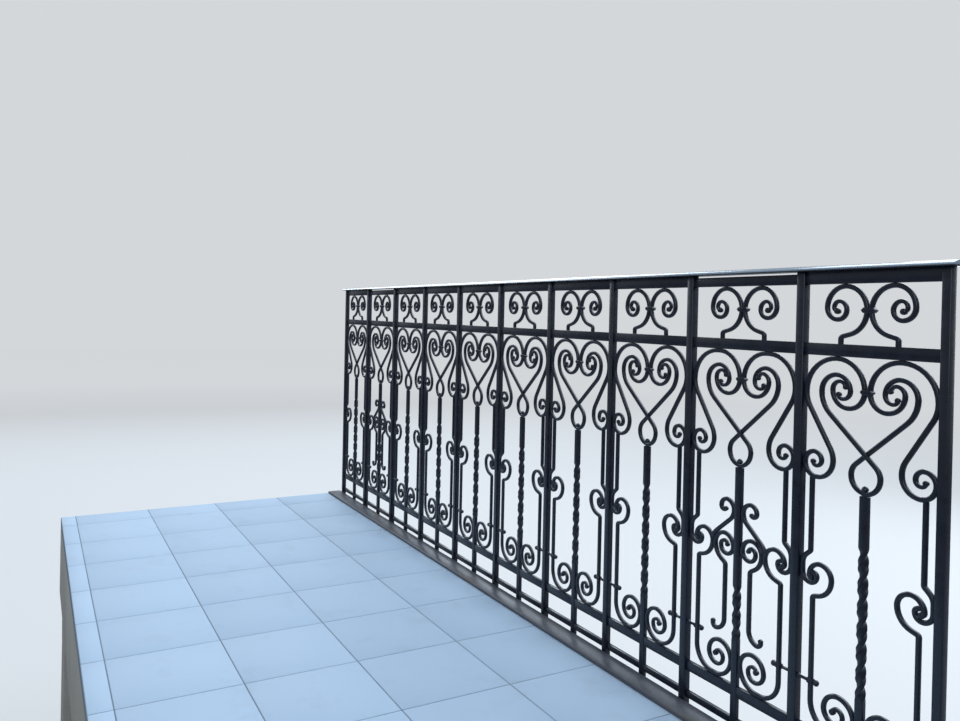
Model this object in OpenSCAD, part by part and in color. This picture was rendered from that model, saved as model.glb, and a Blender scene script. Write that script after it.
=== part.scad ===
// Wrought-iron balcony of a courtyard gallery: a tiled deck on two masonry corbels, an iron edge
// beam with a scrolled fascia, and a scrolled railing whose bars run down in front of the fascia.
// X runs along the railing, Y = 0 is the wall face, the balcony stands out towards -Y, Z is up.
// The origin is the middle of the deck's wall face.

/* [Railing] */
// Height of the handrail above the stone kerb
rail_height = 1050; // [980:5:1120]
// Distance between the posts of a plain panel
plain_pitch = 310; // [300:2:340]
// Distance between the two heavy posts over a corbel
corbel_pitch = 326; // [310:2:350]
// Side of the plain square posts
post_w = 16; // [12:1:18]
// Side of the heavy square posts
heavy_w = 20; // [16:1:22]
// Width of the flat bar in the middle of each panel
centre_w = 16; // [12:1:18]
// Thickness of the flat bar in the middle of each panel
centre_t = 11; // [10:1:14]
// Side of the square bar that the scrolls are bent from
bar = 9; // [7:0.5:9.5]
// Width of the handrail
handrail_w = 44; // [30:2:60]
// Thickness of the handrail at its crown
handrail_t = 11; // [9:1:16]
// Thickness of the handrail at its edges
handrail_edge = 4; // [3:0.5:7]
// Slot between the handrail and the top rail over the corbels
handrail_gap = 5; // [3:1:10]
// Height of the top rail below that slot
top_rail_h = 22; // [18:1:30]
// Height of the frieze rail
frieze_rail_h = 25; // [18:1:30]
// Height of the lower rail
lower_rail_h = 24; // [18:1:30]
// Thickness of the top, frieze and lower rails
flat_t = 10; // [8:1:12]
// Clear height of the frieze between its two rails
frieze_gap = 121; // [116:1:135]
// Height of the lower rail's underside above the kerb
lower_rail_z = 72; // [60:1:90]
// Height of the base bar's underside above the kerb
base_bar_z = 6; // [4:1:15]
// Height of the base bar
base_bar_h = 16; // [12:1:24]

/* [Scrolls] */
// Length of one half turn in the twisted part of the centre bars
half_turn_len = 43; // [30:1:46]
// Half turns in the centre bars of the plain panels
half_turns = 7; // [3:1:7]
// Half turns in the centre bars of the corbel panels
corbel_half_turns = 3; // [1:1:4]
// Straight length of the stems between the bottom scrolls and the croziers
stem_len = 210; // [180:2:226]
// Distance of the stems from the post faces
stem_off = 31; // [28:1:32]
// Radius of the frieze scrolls' outer turn
frieze_r = 48; // [42:1:50]
// Radius of the heart's outer arch on the post side
arch_r = 70; // [66:1:71]
// Radius of the loop that the crossed bars make over the centre bar
loop_r = 33; // [28:1:36]

/* [Deck] */
// How far the deck stands out from the wall, to the edge beam's outer face
deck_d = 1290; // [1100:10:1500]
// Thickness of the plastered deck slab
slab_t = 300; // [240:10:340]
// Thickness of the tile bed
tile_t = 30; // [20:1:50]
// Width of the stone kerb
kerb_w = 64; // [50:2:90]
// Height of the kerb above the tiles
kerb_up = 8; // [4:1:20]
// Thickness of the edge beam's web
beam_t = 10; // [8:1:16]
// Width of the edge beam's bottom flange
flange_w = 70; // [50:5:100]

/* [Fascia] */
// Height of the fascia's ornament between its cover strip and its bead bar
fascia_h = 170; // [150:5:190]
// Height of the bead bar on the fascia
bead_bar_h = 14; // [10:1:20]
// Radius of the balls that end the plain posts and centre bars
ball_r = 12; // [9:1:16]
// Radius of the balls that end the heavy posts
heavy_ball_r = 17; // [13:1:22]

/* [Corbels] */
// Width of the corbels' scrolled body
corbel_w = 240; // [200:5:280]
// How far the corbels stand out from the wall
corbel_d = 1000; // [850:10:1150]
// Height of the corbels below the deck
corbel_h = 620; // [560:10:700]
// Thickness of the cap block on the corbels
cap_t = 70; // [50:5:90]

/* [Hidden] */
$fn = 64;
crown_fn = 256;
end_panels = 1;
span_panels = 6;
panels = 2 * end_panels + 2 + span_panels;
first_corbel = end_panels;
last_corbel = panels - 1 - end_panels;

// Bends, and the round knobs at the scrolls' ends
bend_fn = 32;
weld_fn = 16;
weld_up = 0.05;
knob_r = bar / 2 + 1;
big_knob = bar / 2 + 2;
hook_knob = bar / 2;

// Levels
deck_top = slab_t / 2;
floor_z = deck_top + tile_t;
kerb_z = floor_z + kerb_up;
handrail_z = kerb_z + rail_height;
top_rail_z = handrail_z - handrail_t - handrail_gap - top_rail_h;
frieze_rail_z = top_rail_z - frieze_gap - frieze_rail_h;
low_rail_z = kerb_z + lower_rail_z;
low_rail_top = low_rail_z + lower_rail_h;
soffit_z = -slab_t / 2;
beam_foot = soffit_z - beam_t;
strip_h = 16;
strip_drop = 4;
strip_top = deck_top - strip_drop;
bead_bar_z = strip_top - strip_h - fascia_h - bead_bar_h;
heavy_below = 12;
twist_start = 100;
fascia_ring_r = 34;
fascia_boss_r = 9;

// Console
cap_lip = 30;
cap_slab_t = 42;
nose_r = 130;
lip_r = 15;
hollow_r = 210;
leg_d = 310;
foot_h = 76;
foot_out = 10;
foot_band = 16;
eye_r = 55;
eye_out = 10;
eye_boss_r = 22;
border_w = 32;
flutes = 3;
rib_w = 12;
rib_sunk = 6;
flute_depth = 14;

// The railing stands outside the deck: the backs of the heavy posts lie on the edge beam
rail_y = -deck_d - heavy_w / 2;

// Places along the railing
function is_corbel(i) = i == first_corbel || i == last_corbel;
function pitch(i) = is_corbel(i) ? corbel_pitch : plain_pitch;
rail_len = (panels - 2) * plain_pitch + 2 * corbel_pitch;
function post_x(i) = i == 0 ? -rail_len / 2 : post_x(i - 1) + pitch(i - 1);
function middle_x(i) = post_x(i) + pitch(i) / 2;
function is_heavy(i) = is_corbel(i) || is_corbel(i - 1);
function post_side(i) = is_heavy(i) ? heavy_w : post_w;
plain_posts = [for (i = [0:panels]) if (!is_heavy(i)) i];
heavy_posts = [for (i = [0:panels]) if (is_heavy(i)) i];
deck_over = 30;
deck_len = rail_len + 2 * deck_over;

iron = "#2b3038";
beam_blue = "#5f7187";
stucco = "#a9a79f";
stone = "#55585c";
tile = "#c9d2dc";

// A square bar bent in one plane, starting at the origin along +X.
// A step [radius, turn] is an arc, to the left for a positive turn; [0, length] is a straight stretch.
// The end carries a round knob of the radius knob, if there is one.
module bent_bar(steps, knob = 0, i = 0) {
    if (i < len(steps)) {
        r = steps[i][0];
        a = steps[i][1];
        union() {
            bar_stretch(r, a);
            if (i > 0 && (is_oblique(steps[i]) || is_oblique(steps[i - 1])))
                weld();
        }
        if (r == 0)
            translate([a, 0, 0])
                bent_bar(steps, knob, i + 1);
        else
            translate([0, sign(a) * r, 0])
                rotate([0, 0, a])
                    translate([0, -sign(a) * r, 0])
                        bent_bar(steps, knob, i + 1);
    } else if (knob > 0) {
        cylinder(r = knob, h = bar + 2, center = true, $fn = bend_fn);
    }
}

// One arc of a bent bar, or one straight stretch
module bar_stretch(r, a) {
    if (r == 0)
        translate([0, -bar / 2, -bar / 2])
            cube([a, bar, bar]);
    else
        translate([0, sign(a) * r, 0])
            rotate([0, 0, a > 0 ? -90 : 90 + a])
                rotate_extrude(angle = abs(a), $fn = bend_fn)
                    translate([r - bar / 2, -bar / 2])
                        square(bar);
}

// Forge weld where a bend that is not a quarter turn begins or ends
function is_oblique(step) = step[0] > 0 && abs(step[1]) % 90 != 0;
module weld() {
    cylinder(r = bar / 2 + weld_up, h = bar + 2 * weld_up, center = true, $fn = weld_fn);
}

// Stands a shape drawn in the XY plane up in the railing's plane, at X = x and Z = z
module in_rail(x, z) {
    translate([x, rail_y, z])
        rotate([90, 0, 0])
            children();
}

// A pair of like halves: the children are drawn for the half towards +X
module both_sides() {
    children();
    mirror([1, 0, 0])
        children();
}

// Frieze: two ram's-horn scrolls on cranked feet
frieze_touch = bar / 2;
frieze_bow = 50;
frieze_lean = 75;
frieze_foot_reach = 16;
frieze_crank_r = 6;
frieze_top = frieze_gap - bar / 2;
frieze_collar = frieze_top - frieze_r;
frieze_collar_w = 2 * bar + 18;
ring_collar_w = 2 * bar + 10;
collar_h = 11;
collar_point = 5;
collar_over = 2;
frieze_turns = [[frieze_r, 90], [frieze_r - 6, 90], [frieze_r - 16, 90], [frieze_r - 26, 90],
                [frieze_r - 32, 90], [frieze_r - 37, 90], [frieze_r - 40, 70]];

module frieze_scroll() {
    translate([frieze_touch, frieze_collar, 0]) {
        rotate([0, 0, 90])
            bent_bar([for (s = frieze_turns) [s[0], -s[1]]], big_knob);
        rotate([0, 0, -90])
            bent_bar([[frieze_bow, frieze_lean], [0, frieze_foot_reach],
                      [frieze_crank_r, -frieze_lean], [0, frieze_foot]]);
    }
}
frieze_foot = frieze_collar - frieze_bow * sin(frieze_lean) - frieze_foot_reach * cos(frieze_lean)
              - frieze_crank_r * sin(frieze_lean);

// Collar that ties two bars, drawn out to a point at both ends
module collar(width) {
    side = width / 2 - collar_point;
    linear_extrude(bar + 2 * collar_over, center = true)
        polygon([[-width / 2, 0], [-side, -collar_h / 2], [side, -collar_h / 2],
                 [width / 2, 0], [side, collar_h / 2], [-side, collar_h / 2]]);
}

module frieze_pair(i) {
    in_rail(middle_x(i), frieze_rail_z + frieze_rail_h) {
        both_sides()
            frieze_scroll();
        translate([0, frieze_collar, 0])
            collar(frieze_collar_w);
    }
}

// Heart: the outer bar makes the arch, the ring beside the centre line and the small post scroll
arch_c = 62;
lean = 32;
neck_r = 60;
heel_r = 50;
post_scroll_r = [38, 29, 23, 17, 12, 8];
ring_r = [36, 36, 17, 13];
function arch_flat(face) = face - bar / 2 - (bar / 2 + 1) - arch_c - arch_r;

module heart_outer(face) {
    flat = arch_flat(face);
    start = bar / 2 + 1 + arch_c;
    translate([start, -bar / 2, 0]) {
        rotate([0, 0, 180])
            bent_bar([[arch_c, 90], [ring_r[0], 90], [ring_r[1], 90], [ring_r[2], 90], [ring_r[3], 80]],
                     knob_r);
        bent_bar([[0, flat], [arch_r, -90], [neck_r, -lean], [0, slope_len], [heel_r, lean],
                  for (r = post_scroll_r) [r, 90]], knob_r);
    }
}
// The sloping stretch brings the small scroll's outer turn onto the post
slope_len = (post_scroll_r[0] + post_scroll_r[1] - (neck_r + heel_r) * (1 - cos(lean))) / sin(lean);
post_scroll_mid = -bar / 2 - arch_r - (neck_r + heel_r) * sin(lean) - slope_len * cos(lean);
post_scroll_foot = post_scroll_mid - post_scroll_r[0];

// Heart: the inner bar hooks over the ring, runs down across its partner and closes the loop
cross_lean = 41.5;
hook_x = 102;
hook_top_z = -37;
hook_r = [35, 31, 17, 9];
hook_neck_r = 60;
loop_side_r = 30;
cross_len = (hook_x + loop_r - (hook_neck_r + loop_side_r) * (1 - sin(cross_lean))) / cos(cross_lean);
hook_side = hook_top_z - hook_r[0];
loop_side = hook_side - (hook_neck_r + loop_side_r) * cos(cross_lean) - cross_len * sin(cross_lean);
loop_foot = loop_side - loop_r;

module heart_inner() {
    translate([0, loop_foot, 0])
        rotate([0, 0, 180])
            bent_bar([[loop_r, -90], [loop_side_r, cross_lean - 90], [0, cross_len],
                      [hook_neck_r, 90 - cross_lean], for (r = hook_r) [r, 90]], knob_r);
}

// Mid height: a hanger from the small scroll hooks round the crozier that rises from the stem
crozier_eye = 5;
crozier_turns = [27, 26, crozier_eye];
crozier_bow = 40;
crozier_lean = 75;
crozier_crank_r = 6;
crozier_reach = 10;
crozier_out = stem_off + crozier_crank_r * (1 - cos(crozier_lean)) + crozier_reach * sin(crozier_lean)
              + crozier_bow * (1 - cos(crozier_lean));
bottom_r = [51, 47, 35, 33, 25, 19, 14, 9];
stem_foot = bar / 2 + bottom_r[0];
stem_top = stem_foot + stem_len;
crozier_side = stem_top + crozier_crank_r * sin(crozier_lean) + crozier_reach * cos(crozier_lean)
               + crozier_bow * sin(crozier_lean);
hanger_hook = [20, 15, 8];
hanger_lean = 48;
hanger_crank_r = 6;
hanger_in_r = 24;
hanger_slope = 12;
hanger_post_run = 18;
hanger_hook_z = crozier_side + 4;
hanger_run = hanger_hook_z + hanger_post_run + (hanger_in_r + hanger_crank_r) * sin(hanger_lean)
             + hanger_slope * cos(hanger_lean);
hanger_x = bar / 2 + (hanger_in_r + hanger_crank_r) * (1 - cos(hanger_lean)) + hanger_slope * sin(hanger_lean);

heart_z = frieze_rail_z;
scroll_z = low_rail_top;
hanger_len = heart_z + post_scroll_foot - scroll_z - hanger_run;

// Stem with the crozier above and the big bottom scroll below, at one side of a panel
module stem(face) {
    flat = face - stem_off - centre_w / 2 - bar / 2 - bottom_r[0] - bottom_r[1];
    translate([face - stem_off, stem_foot, 0]) {
        rotate([0, 0, -90])
            bent_bar([[bottom_r[0], -90], [0, flat], for (k = [1:len(bottom_r) - 1]) [bottom_r[k], -90]],
                     big_knob);
        rotate([0, 0, 90])
            bent_bar([[0, stem_len], [crozier_crank_r, crozier_lean], [0, crozier_reach],
                      [crozier_bow, -crozier_lean], for (r = crozier_turns) [r, -90]], big_knob);
    }
}

// Hanger below the small post scroll, hooked at the post
module hanger(face) {
    translate([face - hanger_x, hanger_run, 0]) {
        translate([-bar / 2, 0, -bar / 2])
            cube([bar, hanger_len, bar]);
        rotate([0, 0, -90])
            bent_bar([[hanger_crank_r, hanger_lean], [0, hanger_slope], [hanger_in_r, -hanger_lean],
                      [0, hanger_post_run], for (r = hanger_hook) [r, -90]], hook_knob);
    }
}

// Tie that holds the stem to the post above the bottom scroll
peg_w = 10;
peg_h = 6;
tie_z = 102;
tie_w = 8;
tie_past = 18;
tie_head_r = 6.5;
module stem_tie(face) {
    length = stem_off + tie_past;
    translate([face - length, tie_z, 0]) {
        translate([0, -tie_w / 2, -bar / 2 - 1])
            cube([length, tie_w, bar + 2]);
        cylinder(r = tie_head_r, h = bar + 4, center = true);
    }
}

// Middle figure of the corbel panels: two croziers on stems beside the centre bar, and two S-tails
inner_turns = [28, 27, 20, 18, 12, 8];
inner_crank_r = 10;
inner_bow = 40;
inner_lean = 60;
inner_reach = 8;
inner_foot = 140;
inner_x = centre_w / 2 + bar / 2 + inner_turns[0] + inner_turns[1]
          - (inner_crank_r + inner_bow) * (1 - cos(inner_lean)) - inner_reach * sin(inner_lean);
inner_toe = [[28, 80], [10, 120]];
inner_side = stem_top + (inner_crank_r + inner_bow) * sin(inner_lean) + inner_reach * cos(inner_lean);
tail_curl = [[22, -90], [17, -90], [9, -90], [6, -60]];
tail_gap = 0.4;
tail_lean = 50;
tail_r = 30;
tail_end_r = inner_turns[0] + bar + tail_gap;
tail_end_turn = 35;
tail_slope = (inner_turns[1] + tail_end_r * cos(tail_lean) - tail_r * (1 - cos(tail_lean))) / sin(tail_lean);
tail_z = inner_side + (tail_end_r + tail_r) * sin(tail_lean) + tail_slope * cos(tail_lean);
module inner_figure() {
    translate([inner_x, inner_foot, 0]) {
        rotate([0, 0, 90])
            bent_bar([[0, stem_top - inner_foot], [inner_crank_r, -inner_lean], [0, inner_reach],
                      [inner_bow, inner_lean], for (r = inner_turns) [r, 90]], knob_r);
        rotate([0, 0, -90])
            bent_bar(inner_toe, knob_r);
    }
    translate([centre_w / 2 + bar / 2, tail_z, 0]) {
        rotate([0, 0, 90])
            bent_bar(tail_curl, knob_r);
        rotate([0, 0, -90])
            bent_bar([[tail_r, tail_lean], [0, tail_slope], [tail_end_r, -tail_end_turn]]);
    }
}

module heart_half(face, with_figure) {
    translate([0, heart_z - scroll_z, 0]) {
        heart_outer(face);
        heart_inner();
    }
    stem(face);
    hanger(face);
    stem_tie(face);
    if (with_figure)
        inner_figure();
}

// Head of the peg that holds the loop on the centre bar
module loop_peg() {
    translate([-peg_w / 2, heart_z - scroll_z + loop_foot, -peg_w / 2])
        cube([peg_w, bar / 2 + peg_h, peg_w]);
}

// Collar that ties the two rings at the middle of the heart
module ring_collar() {
    translate([0, heart_z - scroll_z - bar / 2 - arch_c, 0])
        collar(ring_collar_w);
}

module heart_panel(i) {
    in_rail(middle_x(i), scroll_z) {
        mirror([1, 0, 0])
            heart_half(pitch(i) / 2 - post_side(i) / 2, is_corbel(i));
        heart_half(pitch(i) / 2 - post_side(i + 1) / 2, is_corbel(i));
        loop_peg();
        ring_collar();
    }
}

turn_slices = 12;

// Uprights: the posts stand under the handrail, the centre bars under the loops
module post(i, foot) {
    s = post_side(i);
    translate([post_x(i) - s / 2, rail_y - s / 2, foot])
        cube([s, s, handrail_z - handrail_t - foot]);
}

module centre_shank(i, foot, top) {
    translate([middle_x(i) - centre_w / 2, rail_y - centre_t / 2, foot])
        cube([centre_w, centre_t, top - foot]);
}

// A flat bar on edge, cut into lengths that butt against the uprights it meets
module rail(z, h, back, with_centres) {
    front = rail_y - flat_t / 2;
    difference() {
        translate([-rail_len / 2, front, z])
            cube([rail_len, back - front, h]);
        for (i = [0:panels])
            post(i, bead_bar_z - 1);
        if (with_centres)
            for (i = [0:panels - 1])
                centre_shank(i, bead_bar_z - 1, low_rail_top + 1);
    }
}

// Drop that ends a bar: a neck, a ball and a point
drop_neck = 6;
drop_point = 9;
drop_point_r = 4;
module drop(x, z, r) {
    neck_r = r - drop_neck;
    foot = drop_neck + 2 * r + drop_point;
    translate([x, rail_y, z])
        rotate_extrude()
            intersection() {
                translate([0, -foot])
                    square([r, foot]);
                union() {
                    translate([0, -drop_neck - r])
                        circle(r = r);
                    translate([0, -drop_neck - r])
                        square([neck_r, drop_neck + r]);
                    polygon([[0, -drop_neck - r], [drop_point_r, -drop_neck - r],
                             [drop_point_r, drop_point - foot], [0, -foot]]);
                }
            }
}

// Two hooks that curl up beside the ball of a heavy post
anchor_reach = 12;
anchor_r = 14;
anchor_turn = 110;
module anchor(x, z) {
    in_rail(x, z)
        both_sides()
            bent_bar([[0, anchor_reach], [anchor_r, anchor_turn]]);
}

module centre_bar(i) {
    top = heart_z + loop_foot - bar / 2;
    turns = is_corbel(i) ? corbel_half_turns : half_turns;
    twist_foot = scroll_z + twist_start;
    twist_top = twist_foot + turns * half_turn_len;
    centre_shank(i, bead_bar_z, twist_foot);
    translate([middle_x(i), rail_y, twist_foot])
        linear_extrude(height = turns * half_turn_len, twist = 180 * turns, slices = turn_slices * turns,
                       $fn = 4)
            square([centre_w, centre_t], center = true);
    centre_shank(i, twist_top, top);
    drop(middle_x(i), bead_bar_z, ball_r);
}

module plain_posts() {
    color(iron)
        for (i = plain_posts) {
            post(i, bead_bar_z);
            drop(post_x(i), bead_bar_z, ball_r);
        }
}

module heavy_post(i) {
    foot = beam_foot - heavy_below;
    post(i, foot);
    drop(post_x(i), foot, heavy_ball_r);
    anchor(post_x(i), foot - drop_neck - heavy_ball_r);
}

module centre_bars() {
    color(iron)
        for (i = [0:panels - 1])
            centre_bar(i);
}

// Fascia: an arch and a ring in each half panel, between two uprights
module fascia_cell(x, width) {
    arch = width / 2 - bar / 2;
    spring = fascia_h - bar / 2 - arch;
    translate([x, rail_y, bead_bar_z + bead_bar_h])
        rotate([90, 0, 0]) {
            both_sides() {
                translate([arch, 0, 0])
                    rotate([0, 0, 90])
                        bent_bar([[0, spring], [arch, 90]]);
                translate([0, bar / 2, 0])
                    bent_bar([[fascia_ring_r, 180]]);
            }
            translate([-bar / 2, bar / 2 + 2 * fascia_ring_r, -bar / 2])
                cube([bar, fascia_h - bar - 2 * fascia_ring_r, bar]);
            translate([0, (fascia_h + 2 * fascia_ring_r) / 2, 0])
                cylinder(r = fascia_boss_r, h = bar + 2, center = true);
        }
}

module fascia_scrolls() {
    color(iron)
        for (i = [0:panels - 1]) {
            low = post_x(i) + post_side(i) / 2;
            high = post_x(i + 1) - post_side(i + 1) / 2;
            left = middle_x(i) - centre_w / 2;
            right = middle_x(i) + centre_w / 2;
            fascia_cell((low + left) / 2, left - low);
            fascia_cell((right + high) / 2, high - right);
        }
}

// Corbel: an S-shaped console under a moulded cap, its lower face sunk between two borders
nose_x = corbel_d - cap_lip - nose_r;
nose_z = -cap_t - nose_r;
arm_foot = nose_z - nose_r;

module shank_profile(inset) {
    leg = leg_d - inset;
    translate([0, -corbel_h])
        square([leg, corbel_h - cap_t]);
    difference() {
        translate([0, arm_foot - hollow_r])
            square([leg_d + hollow_r, hollow_r]);
        translate([leg_d + hollow_r, arm_foot - hollow_r])
            circle(r = hollow_r + inset);
    }
}

module head_profile() {
    translate([nose_x, nose_z])
        circle(r = nose_r);
    translate([0, arm_foot])
        square([nose_x, -cap_t - arm_foot]);
    translate([nose_x - lip_r, arm_foot])
        circle(r = lip_r);
}

module foot_profile() {
    translate([0, -corbel_h])
        square([leg_d + foot_out, foot_h]);
    translate([0, -corbel_h])
        square([leg_d + foot_out / 2, foot_h + foot_band]);
}

// A length of the corbel along the wall, from the profile that the children draw
module console_slice(x, width) {
    translate([x + width, 0, soffit_z])
        rotate([90, 0, -90])
            linear_extrude(width)
                children();
}

// A round of the radius r on both sides of the head, standing out by out
module eye(i, r, out) {
    translate([middle_x(i), -nose_x, soffit_z + nose_z])
        rotate([0, 90, 0])
            cylinder(r = r, h = corbel_w + 2 * out, center = true);
}

module corbel(i) {
    x = middle_x(i) - corbel_w / 2;
    panel_w = corbel_w - 2 * border_w;
    flute_w = (panel_w - (flutes - 1) * rib_w) / flutes;
    console_slice(x, corbel_w)
        head_profile();
    console_slice(x, corbel_w)
        foot_profile();
    console_slice(x, corbel_w)
        shank_profile(flute_depth);
    for (side = [x, x + corbel_w - border_w])
        console_slice(side, border_w)
            shank_profile(0);
    for (k = [1:flutes - 1])
        console_slice(x + border_w + k * flute_w + (k - 1) * rib_w, rib_w)
            shank_profile(rib_sunk);
    eye(i, eye_r, eye_out);
    eye(i, eye_boss_r, 2 * eye_out);
    translate([middle_x(i) - corbel_w / 2 - cap_lip, -corbel_d, soffit_z - cap_slab_t])
        cube([corbel_w + 2 * cap_lip, corbel_d, cap_slab_t]);
    translate([middle_x(i) - corbel_w / 2 - cap_lip / 2, -corbel_d + cap_lip / 2, soffit_z - cap_t])
        cube([corbel_w + cap_lip, corbel_d - cap_lip / 2, cap_t - cap_slab_t]);
}

module corbel_left() { color(stucco) corbel(first_corbel); }
module corbel_right() { color(stucco) corbel(last_corbel); }

// Section of the handrail: flat below, arched above
module handrail_section() {
    rise = handrail_t - handrail_edge;
    crown_r = (handrail_w * handrail_w / 4 + rise * rise) / (2 * rise);
    intersection() {
        translate([-handrail_w / 2, 0])
            square([handrail_w, handrail_t + rise]);
        translate([0, handrail_t - crown_r])
            circle(r = crown_r, $fn = crown_fn);
    }
}

module handrail() {
    color(iron)
        translate([-rail_len / 2 - heavy_w, rail_y, handrail_z - handrail_t])
            rotate([90, 0, 90])
                linear_extrude(rail_len + 2 * heavy_w)
                    handrail_section();
}

// The top rail reaches up to the handrail, but for the slot over the corbels
module top_rail() {
    color(iron)
        difference() {
            rail(top_rail_z, top_rail_h + handrail_gap, rail_y + flat_t / 2, false);
            for (i = [first_corbel, last_corbel])
                translate([post_x(i), rail_y - flat_t, top_rail_z + top_rail_h])
                    cube([corbel_pitch, 2 * flat_t, 2 * handrail_gap]);
        }
}
module frieze_rail() { color(iron) rail(frieze_rail_z, frieze_rail_h, rail_y + flat_t / 2, false); }
module lower_rail() { color(iron) rail(low_rail_z, lower_rail_h, rail_y + flat_t / 2, true); }
module base_bar() { color(iron) rail(kerb_z + base_bar_z, base_bar_h, rail_y + flat_t / 2, true); }
module fascia_strip() { color(iron) rail(strip_top - strip_h, strip_h, -deck_d, true); }
module bead_bar() { color(iron) rail(bead_bar_z, bead_bar_h, -deck_d, true); }

module deck_slab() {
    color(stucco)
        translate([-deck_len / 2, -deck_d + beam_t, soffit_z])
            cube([deck_len, deck_d - beam_t, slab_t]);
}
module tile_bed() {
    color(tile)
        translate([-deck_len / 2, -deck_d + kerb_w, deck_top])
            cube([deck_len, deck_d - kerb_w, tile_t]);
}
module stone_kerb() {
    color(stone)
        translate([-deck_len / 2, -deck_d, deck_top])
            cube([deck_len, kerb_w, tile_t + kerb_up]);
}
module edge_beam() {
    color(beam_blue) {
        translate([-deck_len / 2, -deck_d, beam_foot])
            cube([deck_len, beam_t, deck_top - beam_foot]);
        translate([-deck_len / 2, -deck_d, beam_foot])
            cube([deck_len, flange_w, beam_t]);
    }
}

deck_slab();
tile_bed();
stone_kerb();
edge_beam();
corbel_left();
corbel_right();
handrail();
top_rail();
frieze_rail();
lower_rail();
base_bar();
fascia_strip();
bead_bar();
fascia_scrolls();
plain_posts();
centre_bars();
for (k = [1:len(heavy_posts)])
    color(iron) heavy_post(heavy_posts[k - 1]);
for (k = [1:panels]) {
    color(iron) frieze_pair(k - 1);
    color(iron) heart_panel(k - 1);
}
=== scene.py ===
from math import asin, ceil, cos, radians, sin, sqrt, tau

import bmesh
import bpy
from mathutils import Matrix, Vector


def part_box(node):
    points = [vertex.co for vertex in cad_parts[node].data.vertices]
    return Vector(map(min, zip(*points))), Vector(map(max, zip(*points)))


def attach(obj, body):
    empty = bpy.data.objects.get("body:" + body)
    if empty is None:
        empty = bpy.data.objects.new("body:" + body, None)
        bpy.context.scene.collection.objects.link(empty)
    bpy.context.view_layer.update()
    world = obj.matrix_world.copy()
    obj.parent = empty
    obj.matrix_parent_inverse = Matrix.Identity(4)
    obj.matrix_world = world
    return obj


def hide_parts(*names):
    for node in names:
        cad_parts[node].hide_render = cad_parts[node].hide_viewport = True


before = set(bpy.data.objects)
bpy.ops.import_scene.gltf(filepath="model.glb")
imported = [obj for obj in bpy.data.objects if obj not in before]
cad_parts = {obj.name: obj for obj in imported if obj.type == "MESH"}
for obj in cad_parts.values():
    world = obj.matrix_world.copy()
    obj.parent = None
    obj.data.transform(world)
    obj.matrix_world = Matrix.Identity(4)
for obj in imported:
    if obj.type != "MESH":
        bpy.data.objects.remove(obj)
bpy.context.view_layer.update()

scene = bpy.context.scene
MM = 0.001


# Places taken from the frame, in metres

def middle(corners, axis):
    return (corners[0][axis] + corners[1][axis]) / 2


heavy_x = [middle(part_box(f"heavy_post_{k}"), 0) for k in range(1, 5)]
rail_y = middle(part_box("heavy_post_1"), 1)
slab_lo, slab_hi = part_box("deck_slab")
tile_lo, tile_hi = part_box("tile_bed")
kerb_lo, kerb_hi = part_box("stone_kerb")
beam_lo, beam_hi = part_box("edge_beam")
handrail_lo, handrail_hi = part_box("handrail")
top_rail_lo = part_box("top_rail")[0]
frieze_rail_lo, frieze_rail_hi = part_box("frieze_rail")
low_rail_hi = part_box("lower_rail")[1]
strip_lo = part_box("fascia_strip")[0]
bead_lo, bead_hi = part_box("bead_bar")

SPAN_PANELS = 6
plain_pitch = (heavy_x[2] - heavy_x[1]) / SPAN_PANELS
post_x = ([heavy_x[0] - plain_pitch, heavy_x[0]]
          + [heavy_x[1] + k * plain_pitch for k in range(SPAN_PANELS + 1)]
          + [heavy_x[3], heavy_x[3] + plain_pitch])
CORBEL_PANELS = (1, 8)
HEAVY_POSTS = (1, 2, 8, 9)
PANELS = len(post_x) - 1

# Iron sections, in millimetres
POST = 17.5
HEAVY_POST = 20
CENTRE_W = 18              # the flat bar in the middle of a panel
CENTRE_T = 11.5
BAR = 9.6                  # the square bar of all scrolls
BAR_ROUNDING = 2.8
POST_ROUNDING = 1.4
HEAVY_ROUNDING = 1.8
CENTRE_ROUNDING = 1.6
KNOB_R = 5.5               # the rolled ends of the scrolls
BIG_KNOB_R = 6.5
HOOK_KNOB_R = 5
ANCHOR_KNOB_R = 4.5
SCROLL_TIP = 0.75          # a scroll's end, as a share of the bar's thickness
BIG_SCROLL_TIP = 0.7
WELD = 1e-4                # points nearer than this are one


def post_side(i):
    return HEAVY_POST if i in HEAVY_POSTS else POST


def middle_x(i):
    return (post_x[i] + post_x[i + 1]) / 2


def half_width(i, post):
    """From the middle of panel i to the face of one of its two posts, in millimetres"""
    return (post_x[i + 1] - post_x[i]) / 2 / MM - post_side(post) / 2


def in_rail(x, z, mirrored=False):
    """Stands a drawing in millimetres up in the railing's plane, with its origin at X = x and Z = z"""
    flip = Matrix.Scale(-1, 4, (1, 0, 0)) if mirrored else Matrix.Identity(4)
    return (Matrix.Translation((x, rail_y, z)) @ Matrix.Rotation(radians(90), 4, "X")
            @ Matrix.Scale(MM, 4) @ flip)


# Materials
PAINTED_SKY_FROM = 1.8            # over the handrail's underside, in millimetres, where the painted pale sky reflection begins
PAINTED_SKY_WHOLE = 3.2           # and from where on the top is painted pale all over with it


def material(name, base, roughness, **sockets):
    """A principled material, and its node tree to paint on"""
    made = bpy.data.materials.new(name)
    made.use_nodes = True
    shader = made.node_tree.nodes["Principled BSDF"]
    shader.inputs["Base Color"].default_value = (*base, 1)
    shader.inputs["Roughness"].default_value = roughness
    for socket, value in sockets.items():
        shader.inputs[socket.replace("_", " ")].default_value = value
    made.diffuse_color = (*base, 1)
    return made


def add_node(mat, kind, inputs=(), **settings):
    node = mat.node_tree.nodes.new(kind)
    for name, value in settings.items():
        setattr(node, name, value)
    for name, value in dict(inputs).items():
        node.inputs[name].default_value = value
    return node


def link(mat, source, target):
    mat.node_tree.links.new(source, target)


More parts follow.
